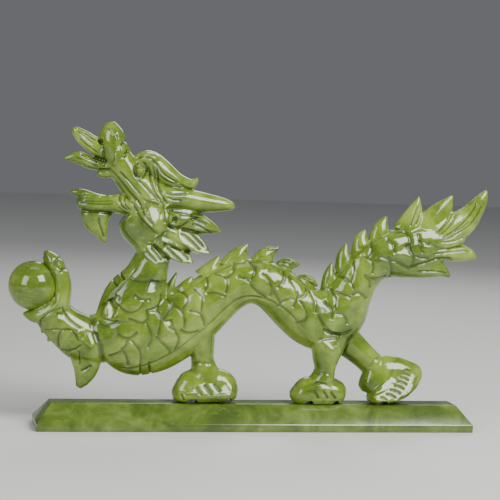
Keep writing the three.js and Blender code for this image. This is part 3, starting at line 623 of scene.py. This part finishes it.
# engraved lines: [width, depth, point, point, ...]
engraved = [
    # belly strip, and the band along the front of the neck
    [1.4, 0.7, [-104, 45.5], [-101, 43], [-97.5, 41.5], [-92.5, 40.5], [-87.5, 40], [-81.5, 41], [-77.5, 42],
     [-73.5, 43.5], [-69.5, 45], [-65.5, 47], [-61, 49.5], [-56, 52.5], [-52, 55.5], [-48, 59], [-44, 62.5],
     [-38.5, 66.5], [-34.5, 70.5], [-31, 74], [-26, 79], [-21, 83.5], [-17.5, 86.5], [-14, 88.3], [-10.5, 89.3],
     [-6.5, 89.8], [-2, 89.5], [3, 88.5], [7.5, 87], [11.5, 85.3], [15.5, 83.2], [19, 80.5], [23, 77], [26.5, 73.2],
     [30.5, 69.5], [35, 65.5], [39.5, 62]],
    [1.4, 0.6, [-83.5, 109], [-88.5, 102.5], [-93, 96.5], [-98.5, 90.5], [-103.5, 84.5], [-107, 79.5], [-109.5, 74]],
    # line under the fins
    [1.4, 0.55, [-62, 90], [-57, 90.5], [-52, 93], [-45, 96.5], [-38.5, 101], [-35, 103.5], [-31, 106], [-27, 108],
     [-23, 110], [-18.5, 111.8], [-13.5, 112.8], [-7.5, 113.5], [-1.5, 114], [4.5, 113.7], [10.5, 112.7], [15, 110.5],
     [21, 106.8], [25, 104], [29, 101], [33, 97.8], [36, 96], [40, 95.3], [44, 95.6], [48, 97.5], [50.5, 100.5],
     [53, 104], [55.5, 107.5], [58.5, 111.5], [61.5, 115], [65, 119], [69, 122.5], [73.5, 126], [78, 129],
     [82.5, 131.8], [87, 134.5], [92, 136], [98, 135.5], [104, 134.5], [110, 135], [116, 136.5], [121, 138]],
    # crease where the raised arm leaves the chest
    [4, 1.2, [-113, 75], [-112, 67.5], [-109, 60], [-106.5, 54.5], [-105.5, 47.5], [-104.5, 43]],
    # the raised arm
    [1.3, 0.9, [-148, 62], [-147.5, 68], [-145.5, 72.5], [-140, 77], [-134.5, 79.6], [-131, 80.5]],
    [1.2, 0.8, [-146, 65.2], [-140, 65.2], [-134, 65.8], [-129.5, 66]],
    [1.4, 1, [-134, 52], [-135, 57], [-134.5, 62], [-132, 65.3], [-127, 65.8], [-122, 64.5]],
    [1.4, 1, [-134, 52], [-128, 51.3], [-122.5, 53], [-118.5, 56.5]],
    [1.3, 0.9, [-120.8, 52], [-120.4, 46], [-121, 41]],
    [1.3, 0.9, [-126, 65.5], [-122.5, 61.5], [-120.5, 57]],
    [1.4, 1, [-133, 82], [-131, 77], [-128, 72.5], [-123.5, 69], [-119, 66.5]],
    [1.6, 1.2, [-120, 37.5], [-116.5, 38.8], [-112, 42]],
    # thigh over the hip
    [2.2, 1.2, [38.5, 80.5], [40.5, 78.5], [43, 74.5], [45.5, 70.5], [48.5, 67.5], [52.5, 66], [57, 65.5], [62, 66.5],
     [66, 69]],
    [2, 0.9, [40, 60.5], [44, 61.8], [50, 62.8], [56, 62.8]],
    [2.4, 1.2, [66, 66], [62, 58], [58, 49], [55, 42]],
    # ankles
    [2, 0.6, [-46, 43], [-40, 44.5], [-31, 43.5]],
    [2, 0.6, [39.5, 37.5], [46, 38.5], [53.5, 37.5]],
    [2, 0.6, [78, 42], [82, 47], [86, 50]],
    # nose
    [1.6, 1.2, [-113.5, 193], [-111.5, 189.5], [-109.5, 184.5], [-109.5, 180.5], [-108.5, 178]],
    [1.1, 0.9, [-128, 198.5], [-123.5, 194.5], [-119.5, 190.8], [-115, 188.5]],
    [1.1, 0.9, [-126.5, 193], [-122.5, 189], [-117.5, 185.5], [-112, 182]],
    [1.1, 0.9, [-123.5, 196], [-118.5, 192.7], [-114.5, 190.6]],
    [1.8, 1.5, [-123, 183.5], [-117.5, 180.5], [-112, 178.8], [-106.5, 177.2]],
    [1.2, 1, [-125.5, 182.5], [-121, 179.8], [-116.5, 177.8], [-112, 176.6]],
    [1.1, 0.9, [-129, 180.3], [-123.5, 178], [-118, 175.6], [-113, 174.5]],
    [1.5, 1.1, [-112, 172.3], [-107.5, 171.8], [-103.5, 172.5]],
    # lip band from the mouth to the cheek
    [1.4, 1, [-105.8, 173], [-101, 168.3], [-96.5, 163.5], [-91.7, 158], [-87, 153.6], [-83.4, 149], [-80.7, 143.8],
     [-76.9, 138.4], [-72.5, 134.6]],
    [1.4, 1, [-99, 171.5], [-94, 167], [-88.6, 161], [-84.3, 157], [-81.6, 153.5]],
    [1.5, 1, [-105, 167.2], [-100.2, 162.6], [-95.2, 157], [-91.5, 153], [-88, 149.5], [-85, 144], [-81.5, 138.8],
     [-77, 134.2], [-72.5, 131.6]],
    [1.3, 0.9, [-90, 152], [-86.5, 146], [-83, 139.5], [-80.5, 135.5]],
    [1.2, 0.8, [-87, 147], [-84, 141.5], [-81.5, 137]],
    [1.3, 1, [-68.5, 151], [-67.5, 146], [-67, 141], [-66.5, 137]],
    # eye, brow strands and the feathers behind them
    [1.5, 1.4, [-84.3, 176.9], [-86.8, 175.7], [-88, 172.5], [-87.3, 169], [-85, 167.2], [-82.3, 167.8],
     [-80.7, 170.4], [-80.6, 173.8], [-82.2, 176.4], [-84.3, 176.9]],
    [1.4, 1.1, [-89.5, 178], [-86.5, 180.5], [-82, 181.4], [-77, 179.6], [-73.5, 176], [-70, 171.5], [-66, 168],
     [-61, 165.5], [-56, 164.4]],
    [1.3, 1.1, [-79.7, 176.2], [-78.5, 170.9], [-76.2, 163.7], [-73.9, 157.7], [-69.7, 151.9], [-66.2, 148.6]],
    [1.5, 1.3, [-73.6, 175.1], [-73.1, 170.4], [-72.1, 163.8], [-69.9, 157.9], [-67.3, 152.6], [-64.9, 149.3]],
    [1.1, 0.8, [-76.6, 176.3], [-75.4, 171], [-73.9, 164.4], [-71.6, 157.8]],
    [1.2, 0.9, [-86.7, 167], [-81.5, 161.8], [-75.9, 156.4], [-71, 151.8], [-65.5, 147.6]],
    [1.2, 0.9, [-72.5, 169.5], [-68.5, 166.8], [-64, 164.6], [-59, 164]],
    [1.2, 0.9, [-69.5, 163.5], [-66, 162.5], [-60.5, 161.8], [-54, 161.5]],
    [1.2, 0.9, [-68, 158.5], [-63, 156.5], [-57, 156.8], [-51, 158]],
    [1.2, 0.9, [-66.5, 155], [-61, 152.8], [-55.5, 153]],
    [1.4, 1, [-58, 164.2], [-53, 161.4], [-48, 160.6]],
    # horn
    [2, 1.3, [-64, 147], [-56, 146], [-48.5, 144.8], [-40.5, 144.6], [-34, 145]],
    # curl behind the jaw
    [1.4, 1.1, [-65.5, 137.8], [-63, 135.6], [-59, 134.6], [-55, 136], [-51, 139.5], [-47, 141.6], [-43, 142.6]],
    [1.3, 0.9, [-57, 143.5], [-53, 144], [-49, 143]],
    [1.4, 1, [-76, 125], [-71, 127.6], [-67, 131], [-63, 132.8]],
    # locks
    [1.3, 1.1, [-49, 137.5], [-44, 136.5], [-39.5, 134], [-34.5, 131.5]],
    [1.3, 1.1, [-49, 141], [-44, 139.5], [-38, 137]],
    [2, 1.5, [-56, 134], [-50, 133], [-43, 131.5]],
    [1.3, 1.1, [-54, 133.5], [-49.5, 131.5], [-44.5, 127], [-39.5, 122]],
    [1.3, 1.1, [-56.5, 131.5], [-52, 129], [-47, 124.5], [-42, 120]],
    [2, 1.5, [-64, 124.5], [-58, 121.5], [-49, 118]],
    [1.3, 1.1, [-61, 125.5], [-58, 122], [-53, 117.5], [-49.5, 113.5]],
    [1.3, 1.1, [-65, 122], [-61.5, 118.5], [-57, 114.5], [-53.5, 112]],
    [1.8, 1.4, [-74.5, 124], [-70, 119.5], [-65, 114]],
    [1.2, 1, [-75.5, 121.5], [-71.5, 117], [-67.5, 112.8]],
    [1.2, 1, [-79, 119.5], [-75, 115.5], [-71, 112]],
    # lower jaw, its hinge, and the beard
    [1.3, 1, [-125, 149.5], [-119, 149.3], [-112, 149], [-106, 149.2], [-99.5, 150]],
    [1.2, 0.8, [-121.5, 151.2], [-114, 151], [-106, 151.3], [-100, 152]],
    [1.4, 1.1, [-97.8, 156], [-97.2, 151.5], [-95, 147.5], [-91.5, 144.8]],
    [1.3, 1, [-93.5, 156], [-94.3, 152], [-93, 148], [-89.5, 145]],
    [1.2, 0.8, [-98, 147.5], [-94.5, 144.5], [-90.5, 142.5]],
    [1.8, 1.3, [-124.5, 144.6], [-117, 143.8], [-110, 143.6], [-104, 143.2], [-99.5, 144]],
    [1.4, 1.1, [-111.2, 141], [-110.3, 136], [-108.6, 131], [-106.8, 126.5]],
    # tail flames
    [1.3, 1, [103, 139.5], [106.3, 148], [108.4, 155]],
    [1.2, 0.9, [106.5, 140.5], [109, 146], [110.3, 151.5]],
    [1.3, 1, [121, 135], [127, 141], [131.3, 147.5], [133.2, 154.5]],
    [1.2, 0.9, [123.5, 133.8], [130, 139.6], [133.8, 145.5], [135, 150.5]],
    [1.3, 1, [125.5, 131.8], [134.5, 138], [141.5, 144.3], [147.5, 152], [151.3, 160]],
    [1.2, 0.9, [125.5, 130.5], [134.5, 134.5], [142.5, 139.3], [148, 145], [152, 151.5], [155, 159]],
    [1.2, 0.8, [133.5, 135.8], [140.5, 140.4], [146, 145.3]],
    [1.2, 0.9, [124, 129.8], [133, 130.3], [142, 133.3]],
    [1.3, 1, [121, 123.8], [128, 124.8], [135, 126], [143, 128.4]],
    [1.2, 0.9, [118.5, 121.3], [127, 122.2], [136.5, 123.8], [144.5, 124.6], [149.5, 122.5]],
    [1.9, 1.3, [100, 110], [105, 112.4], [112.5, 114.5], [118, 116.2], [123.5, 118.2], [131, 118.6], [136, 117.3]],
    [1.3, 1, [108, 109], [113, 109.3], [120, 109.4], [128, 109], [134, 107.8]],
    # fins
    [1.2, 0.7, [-11.5, 121.5], [-9.8, 118.5], [-9.5, 115.5]],
    [1.2, 0.7, [2, 121.5], [7, 121.8], [11.5, 121]],
    [1.2, 0.8, [12, 115.3], [17, 115.4], [21, 113.8], [25, 111]],
    [1.2, 0.8, [13, 113], [18, 113], [23, 110.5]],
    [1.2, 0.8, [25, 104.8], [31, 104], [36, 101]],
    [1.2, 0.8, [28, 102.8], [33, 100.6], [37.5, 98]],
    [1.2, 0.7, [46.5, 104], [46.5, 100], [47.5, 97.5]],
    # toes of the three standing feet
    [1.6, 1.3, [-41.5, 28.8], [-39.5, 26], [-36.8, 23]],
    [1.6, 1.3, [-36, 30.4], [-33.5, 27], [-30.3, 23.4]],
    [1.6, 1.3, [-29.2, 31], [-27, 28], [-24.4, 25]],
    [1.4, 1, [-52, 24], [-50, 21], [-49, 18.5]],
    [1.6, 1.3, [40, 27.5], [41.5, 24.5], [43.5, 20.5]],
    [1.6, 1.3, [46, 27.5], [48, 24.5], [50, 20.5]],
    [1.6, 1.3, [51.5, 26.5], [53.5, 23.5], [55.5, 20.5]],
    [1.4, 0.5, [31, 27.5], [37, 30.5], [44, 32], [50, 30.5]],
    [1.2, 1.1, [108.5, 36.5], [105.5, 38], [102.5, 38.4]],
    [1.2, 1.1, [107.5, 33.5], [104.5, 35.2], [100.5, 36]],
    [1.2, 1.1, [106.5, 30.5], [102.5, 32.4], [98.5, 33.2]],
    [1.2, 1.1, [104.5, 27.5], [100.5, 29.6], [96.5, 30.4]],
    [1.2, 1.1, [102, 24.3], [98, 26.6], [93.5, 27.6]],
    [1.2, 1.1, [98.5, 21.6], [94.5, 23.8], [90.5, 24.6]],
    [1.2, 0.9, [92, 20], [89, 21.8], [86.5, 22.4]],
]

# grooves that run right round an edge, given the same way
notches = [
    [2, 1.2, [-130.5, 106], [-133.1, 105.6], [-136, 104]],
    [1.6, 0.9, [-134.6, 115], [-136.8, 112.4], [-138.4, 110.2], [-140.4, 107.7]],
    [1.8, 1.4, [-93.6, 193.1], [-95.6, 191], [-97.8, 187.4]],
    [1.8, 1.4, [-92.6, 185.4], [-94.3, 183], [-96, 179.7]],
    [1.3, 1.2, [-79.7, 44.5], [-79.7, 40], [-79.5, 33]],
    [1.3, 1.2, [-73.7, 45.5], [-73.5, 40], [-72.5, 34]],
    [1.3, 1.3, [-92, 99], [-95, 102.5], [-98, 105]],
    [1.3, 1.3, [-96.5, 94.5], [-100, 98], [-103, 100.5]],
]

# ridges left standing: [width, height, point, point, ...]
ridges = [
    [1.9, 0.9, [-107.6, 171.2], [-101.4, 166.7], [-97.3, 161.6], [-93.2, 156.6], [-89.2, 153.6], [-85.2, 149.3],
     [-82.4, 144.9], [-78.9, 139.8], [-74.8, 135.3], [-71.5, 133.5]],
    [1.7, 0.8, [-104.6, 174.7], [-100.8, 169.9], [-95.5, 165], [-90.1, 159], [-84.7, 154.4], [-81.2, 150], [-79, 144],
     [-74.8, 138], [-70.6, 135.4]],
    [1.5, 1.1, [-110.3, 199.1], [-107.7, 199.9], [-103.7, 196.8], [-100.2, 189.2], [-100, 182.8], [-101.7, 176.3],
     [-104.6, 173.6]],
    [1.6, 0.6, [-86.9, 178.1], [-83.7, 180.8], [-78.6, 181.4], [-73.3, 179], [-68.5, 174.5], [-64.4, 169.9],
     [-60, 167], [-55, 166]],
]
for width, height, *points in ridges:
    raiseRidge(stone, points, width, height)
for width, depth, *points in engraved:
    cutGroove(stone, points, width, depth)
for width, depth, *points in notches:
    cutGroove(stone, points, width, depth, facing=False)
carvedDepth = np.maximum(stone.cut, 0)
stone.commit()
print("lines engraved:", len(engraved) + len(notches))

# the drilled nostril
nostril = {"x": -111.8, "height": 190.4, "radius": 1.3, "depth": 2.4}
away = np.hypot(stone.along - nostril["x"], stone.up - nostril["height"])
stone.cut = nostril["depth"] * np.exp(-(away / nostril["radius"]) ** 2) * stone.facing
stone.commit()

# soles are flat, with arches cut under them: [middle, half width, height]
arches = [[-45.5, 3.6, 3.4], [-20.3, 2.4, 3.8], [35, 3.2, 2.8], [53.7, 2.6, 2.8], [87.5, 3.6, 2.8]]
soleLevel = drawn["level"] + jointGap / unit
floor = np.full(len(stone.x), soleLevel)
for middle, half, height in arches:
    floor = np.maximum(floor, soleLevel + height * np.sqrt(np.clip(1 - ((stone.x - middle) / half) ** 2, 0, 1)))
stone.z = np.maximum(stone.z, floor)
stone.cut[:] = 0
stone.commit()

# the cup that the pearl sits in
points = readPoints(dragon.data)
away = points - np.array(pearlMiddle)
distance = np.linalg.norm(away, axis=1)
seat = pearlRadius + jointGap
inside = distance < seat
points[inside] = np.array(pearlMiddle) + away[inside] / distance[inside, None] * seat
writePoints(dragon.data, points)

# how deep each point was cut, which the stone's material turns into painted shade in the grooves
carved = dragon.data.attributes.new("carved", "FLOAT", "POINT")
carved.data.foreach_set("value", np.clip(carvedDepth, 0, chisel["deepest"]).astype(np.float32))

trianglesNow = len(dragon.data.polygons) * 2   # the remeshed stone is all four sided
applyModifier(dragon, "DECIMATE", ratio=min(1.0, chisel["triangles"] / trianglesNow))
onlySelect(dragon)
bpy.ops.object.shade_smooth()
print("dragon finished:", len(dragon.data.polygons), "faces")

pearlForm = {"segments": 96, "rings": 64}


def addPearl(form):
    deselectAll()
    bpy.ops.mesh.primitive_uv_sphere_add(
        segments=form["segments"], ring_count=form["rings"], radius=pearlRadius, location=pearlMiddle)
    ball = bpy.context.object
    ball.name = ball.data.name = "pearlBall"
    placeInMesh(ball)
    bpy.ops.object.shade_smooth()
    return ball


pearlBall = addPearl(pearlForm)

plinthForm = {
    "edge": 5.0, "inset": 10.0, "rounding": 0.7, "near": 0.1,   # millimetres
    "cornerSteps": 3, "cornerAngle": 20, "smoothAngle": 35,     # degrees
}


def addPlinth(form):
    size = plinthHigh - plinthLow
    deselectAll()
    bpy.ops.mesh.primitive_cube_add(size=1, location=(plinthLow + plinthHigh) / 2, scale=size)
    slabObj = bpy.context.object
    slabObj.name = slabObj.data.name = "plinthSlab"
    placeInMesh(slabObj)
    editAll()
    bpy.ops.mesh.bisect(plane_co=(0, 0, plinthLow.z + form["edge"] * mm), plane_no=(0, 0, 1))
    bpy.ops.object.mode_set(mode="OBJECT")
    for vertex in slabObj.data.vertices:
        vertex.select = vertex.co.z > plinthHigh.z - form["near"] * mm
    for edge in slabObj.data.edges:
        edge.select = all(slabObj.data.vertices[i].select for i in edge.vertices)
    for face in slabObj.data.polygons:
        face.select = all(slabObj.data.vertices[i].select for i in face.vertices)
    bpy.ops.object.mode_set(mode="EDIT")
    inset = form["inset"] * mm
    bpy.ops.transform.resize(
        value=(1 - 2 * inset / size.x, 1 - 2 * inset / size.y, 1), center_override=(0, 0, plinthHigh.z))
    bpy.ops.object.mode_set(mode="OBJECT")
    applyModifier(slabObj, "BEVEL", width=form["rounding"] * mm, segments=form["cornerSteps"], limit_method="ANGLE",
                  angle_limit=math.radians(form["cornerAngle"]))
    bpy.ops.object.shade_smooth_by_angle(angle=math.radians(form["smoothAngle"]))
    return slabObj


plinthSlab = addPlinth(plinthForm)
print("pearl and plinth finished")


def linear(code):
    parts = [int(code[i:i + 2], 16) / 255 for i in (1, 3, 5)]
    return tuple(c / 12.92 if c <= 0.04045 else ((c + 0.055) / 1.055) ** 2.4 for c in parts) + (1.0,)


def addNode(tree, kind, settings=None, inputs=None):
    node = tree.nodes.new(kind)
    for key, value in (settings or {}).items():
        setattr(node, key, value)
    for key, value in (inputs or {}).items():
        if isinstance(value, bpy.types.NodeSocket):
            tree.links.new(value, node.inputs[key])
        else:
            node.inputs[key].default_value = value
    return node


def rampOf(node, stops):
    ramp = node.color_ramp
    while len(ramp.elements) > 1:
        ramp.elements.remove(ramp.elements[-1])
    ramp.elements[0].position, ramp.elements[0].color = stops[0][0], linear(stops[0][1])
    for place, code in stops[1:]:
        ramp.elements.new(place).color = linear(code)


def newMaterial(name):
    material = bpy.data.materials.new(name)
    material.use_nodes = True
    return material, material.node_tree


# serpentine jade, hand polished: clouded green with paler threads, and a deep wet gloss
dragonStone = {
    # its groove colour is painted shade, laid into the carved lines by how deep they are cut
    "dark": "#465C19", "body": "#617820", "pale": "#84993F", "thread": "#A0AC6C", "groove": "#2E400C",
    "cloud": 26, "threadSize": 7, "roughness": 0.11, "glow": 0.3,
}
# the plinth's serpentine, sawn and rubbed: darker and more even, with a duller sheen
plinthStone = {
    # its groove colour is painted shade for carved lines, which the plinth does not use
    "dark": "#3A4E18", "body": "#4E631E", "pale": "#6A7C38", "thread": "#828C54", "groove": "#263E0C",
    "cloud": 20, "threadSize": 6, "roughness": 0.18, "glow": 0.2,
}


def jade(name, look, paintsGrooveShade):
    material, tree = newMaterial(name)
    tree.nodes.clear()
    place = addNode(tree, "ShaderNodeTexCoord").outputs["Object"]
    clouds = addNode(tree, "ShaderNodeTexNoise", inputs={
        "Vector": place, "Scale": 1000 / look["cloud"], "Detail": 5.0, "Roughness": 0.58, "Distortion": 0.7})
    body = addNode(tree, "ShaderNodeValToRGB", inputs={"Fac": clouds.outputs["Fac"]})
    rampOf(body, [(0.34, look["dark"]), (0.5, look["body"]), (0.68, look["pale"])])
    stretch = addNode(tree, "ShaderNodeMapping", inputs={"Vector": place, "Scale": (1, 1, 2.4)})
    threads = addNode(tree, "ShaderNodeTexNoise", inputs={
        "Vector": stretch.outputs["Vector"], "Scale": 1000 / look["threadSize"], "Detail": 6.0, "Roughness": 0.7,
        "Distortion": 1.4})
    threadMask = addNode(tree, "ShaderNodeMapRange", inputs={
        "Value": threads.outputs["Fac"], "From Min": 0.56, "From Max": 0.78, "To Min": 0.0, "To Max": 0.5})
    threaded = addNode(tree, "ShaderNodeMix", {"data_type": "RGBA"}, {
        "Factor": threadMask.outputs["Result"], "A": body.outputs["Color"], "B": linear(look["thread"])})
    colour = threaded.outputs[2]
    # painted shade: the carved lines are darkened towards the groove colour by their depth
    if paintsGrooveShade:
        depth = addNode(tree, "ShaderNodeAttribute", {"attribute_name": "carved"})
        grooveShadeMask = addNode(tree, "ShaderNodeMapRange", inputs={
            "Value": depth.outputs["Fac"], "From Min": 0.15, "From Max": 0.9, "To Min": 0.0, "To Max": 0.75})
        grooveShaded = addNode(tree, "ShaderNodeMix", {"data_type": "RGBA"}, {
            "Factor": grooveShadeMask.outputs["Result"], "A": colour, "B": linear(look["groove"])})
        colour = grooveShaded.outputs[2]
    grain = addNode(tree, "ShaderNodeTexNoise", inputs={"Vector": place, "Scale": 900.0, "Detail": 3.0})
    gloss = addNode(tree, "ShaderNodeMapRange", inputs={
        "Value": grain.outputs["Fac"], "To Min": look["roughness"] * 0.7, "To Max": look["roughness"] * 1.35})
    waviness = addNode(tree, "ShaderNodeTexNoise", inputs={"Vector": place, "Scale": 180.0, "Detail": 2.0})
    bump = addNode(tree, "ShaderNodeBump", inputs={
        "Height": waviness.outputs["Fac"], "Strength": 0.12, "Distance": 0.0006})
    shader = addNode(tree, "ShaderNodeBsdfPrincipled", inputs={
        "Base Color": colour, "Roughness": gloss.outputs["Result"], "IOR": 1.56, "Normal": bump.outputs["Normal"],
        "Subsurface Weight": look["glow"], "Subsurface Radius": (0.6, 1.0, 0.25), "Subsurface Scale": 0.004})
    out = addNode(tree, "ShaderNodeOutputMaterial")
    tree.links.new(shader.outputs["BSDF"], out.inputs["Surface"])
    return material


# drawn steel rod: grey, finely mottled, half matt
rodFinish = {"dark": "#8C8F91", "pale": "#B9BCBD", "mottle": 800.0, "roughness": 0.38}


def drawnRod(name, look):
    material, tree = newMaterial(name)
    shader = tree.nodes["Principled BSDF"]
    place = addNode(tree, "ShaderNodeTexCoord").outputs["Object"]
    mottle = addNode(tree, "ShaderNodeTexNoise", inputs={"Vector": place, "Scale": look["mottle"], "Detail": 2.0})
    tint = addNode(tree, "ShaderNodeValToRGB", inputs={"Fac": mottle.outputs["Fac"]})
    rampOf(tint, [(0.3, look["dark"]), (0.7, look["pale"])])
    tree.links.new(tint.outputs["Color"], shader.inputs["Base Color"])
    shader.inputs["Metallic"].default_value = 1.0
    shader.inputs["Roughness"].default_value = look["roughness"]
    return material


def wear(obj, material):
    obj.data.materials.clear()
    obj.data.materials.append(material)


polishedJade = jade("polishedSerpentineJade", dragonStone, True)
pearlJade = jade("turnedSerpentineJade", dragonStone, False)   # the same stone, smooth from the lathe
sawnJade = jade("sawnSerpentineJade", plinthStone, False)
rodSteel = drawnRod("drawnSteelRod", rodFinish)
wear(dragon, polishedJade)
wear(pearlBall, pearlJade)
wear(plinthSlab, sawnJade)
print("stone finished")

for piece, node, slot in (
        (dragon, "dragon_carving", "dragon_jade"),
        (pearlBall, "pearl", "pearl_jade"),
        (plinthSlab, "plinth", "plinth_jade")):
    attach(piece, "root")
    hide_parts(node)
for node in ("dowel_fore", "dowel_hind_near", "dowel_hind_far"):
    wear(bpy.data.objects[node], rodSteel)

studio = {
    "floor": "#CFCFCB", "floorSize": 6, "floorRoughness": 0.6,
    "air": (0.9, 0.93, 1.0, 1), "world": 0.16, "aim": (0, 0, 0.1),
    # window and its neighbour at the front, a soft top light and one behind: place, size, watts
    "lights": [
        [(-1.08, -0.86, 0.7), (0.6, 1.0), 15],
        [(0.66, -0.92, 0.98), (0.8, 0.75), 34],
        [(0.0, 0.1, 1.5), (0.9, 0.4), 2],
        [(0.35, 0.95, 0.7), (0.7, 0.5), 3.5],
    ],
}


def addStudio(setup):
    deselectAll()
    bpy.ops.mesh.primitive_plane_add(size=setup["floorSize"], location=(0, 0, plinthLow.z))
    ground = bpy.context.object
    ground.name = ground.data.name = "paleFloor"
    editAll()
    bpy.ops.mesh.subdivide(number_cuts=1)
    bpy.ops.object.mode_set(mode="OBJECT")
    placeInMesh(ground)
    material, tree = newMaterial("paleFloorPaint")
    shader = tree.nodes["Principled BSDF"]
    shader.inputs["Base Color"].default_value = linear(setup["floor"])
    shader.inputs["Roughness"].default_value = setup["floorRoughness"]
    wear(ground, material)
    for place, size, watts in setup["lights"]:
        bpy.ops.object.light_add(type="AREA", location=place)
        lamp = bpy.context.object
        lamp.data.shape = "RECTANGLE"
        lamp.data.size, lamp.data.size_y = size
        lamp.data.energy = watts
        lamp.rotation_euler = (Vector(place) - Vector(setup["aim"])).to_track_quat("Z", "Y").to_euler()
    world = bpy.data.worlds.new("studioAir")
    bpy.context.scene.world = world
    world.use_nodes = True
    world.node_tree.nodes["Background"].inputs["Color"].default_value = setup["air"]
    world.node_tree.nodes["Background"].inputs["Strength"].default_value = setup["world"]


addStudio(studio)
print("studio lit")
